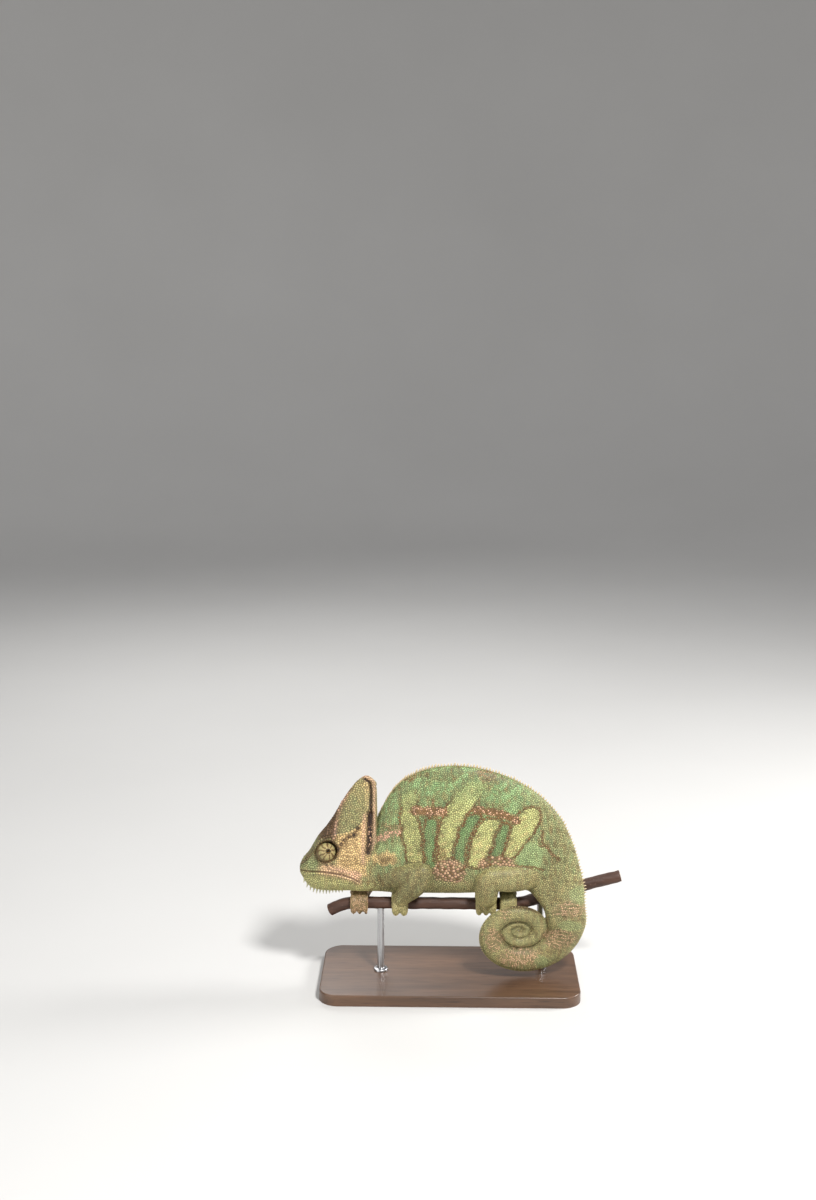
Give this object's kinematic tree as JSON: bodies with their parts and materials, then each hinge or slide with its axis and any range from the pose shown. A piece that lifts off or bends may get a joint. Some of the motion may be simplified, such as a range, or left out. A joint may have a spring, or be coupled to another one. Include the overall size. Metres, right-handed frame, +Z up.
{
  "type": "veiled chameleon on a perch",
  "caption": "Life-size veiled chameleon with tall casque and coiled tail, gripping a cut branch on a flat display stand.",
  "frame": {"origin": "centre of the display stand's underside", "axes": "-X the way the animal faces, -Y its left side, +Z up"},
  "size_m": [0.2331, 0.088, 0.1667],
  "materials": {
    "skin_green": "dry scaly skin, green with yellow bands",
    "skin_limb": "dry scaly skin, olive",
    "skin_head": "dry scaly skin, yellow and rust",
    "lid": "finely scaled lid, streaked",
    "eye": "wet gloss",
    "bark": "reddish-brown bark with sawn ends",
    "walnut": "dark satin wood",
    "steel": "satin"
  },
  "bodies": {
    "root": {"branch": "bark", "casque": "skin_head", "eye_left": "eye", "eye_right": "eye", "forearm_left": "skin_limb", "forearm_right": "skin_limb", "forefoot_left": "skin_limb", "forefoot_right": "skin_limb", "head": "skin_head", "hindfoot_left": "skin_limb", "hindfoot_right": "skin_limb", "jaw": "skin_head", "lid_left": "lid", "lid_right": "lid", "neck": "skin_green", "shin_left": "skin_limb", "shin_right": "skin_limb", "stand_base": "walnut", "stand_rod_front": "steel", "stand_rod_rear": "steel", "tail_coil_1": "skin_green", "tail_coil_2": "skin_green", "tail_coil_3": "skin_green", "tail_coil_4": "skin_green", "tail_root": "skin_green", "thigh_left": "skin_limb", "thigh_right": "skin_limb", "torso_front": "skin_green", "torso_rear": "skin_green", "upper_arm_left": "skin_limb", "upper_arm_right": "skin_limb"}
  },
  "joints": []
}
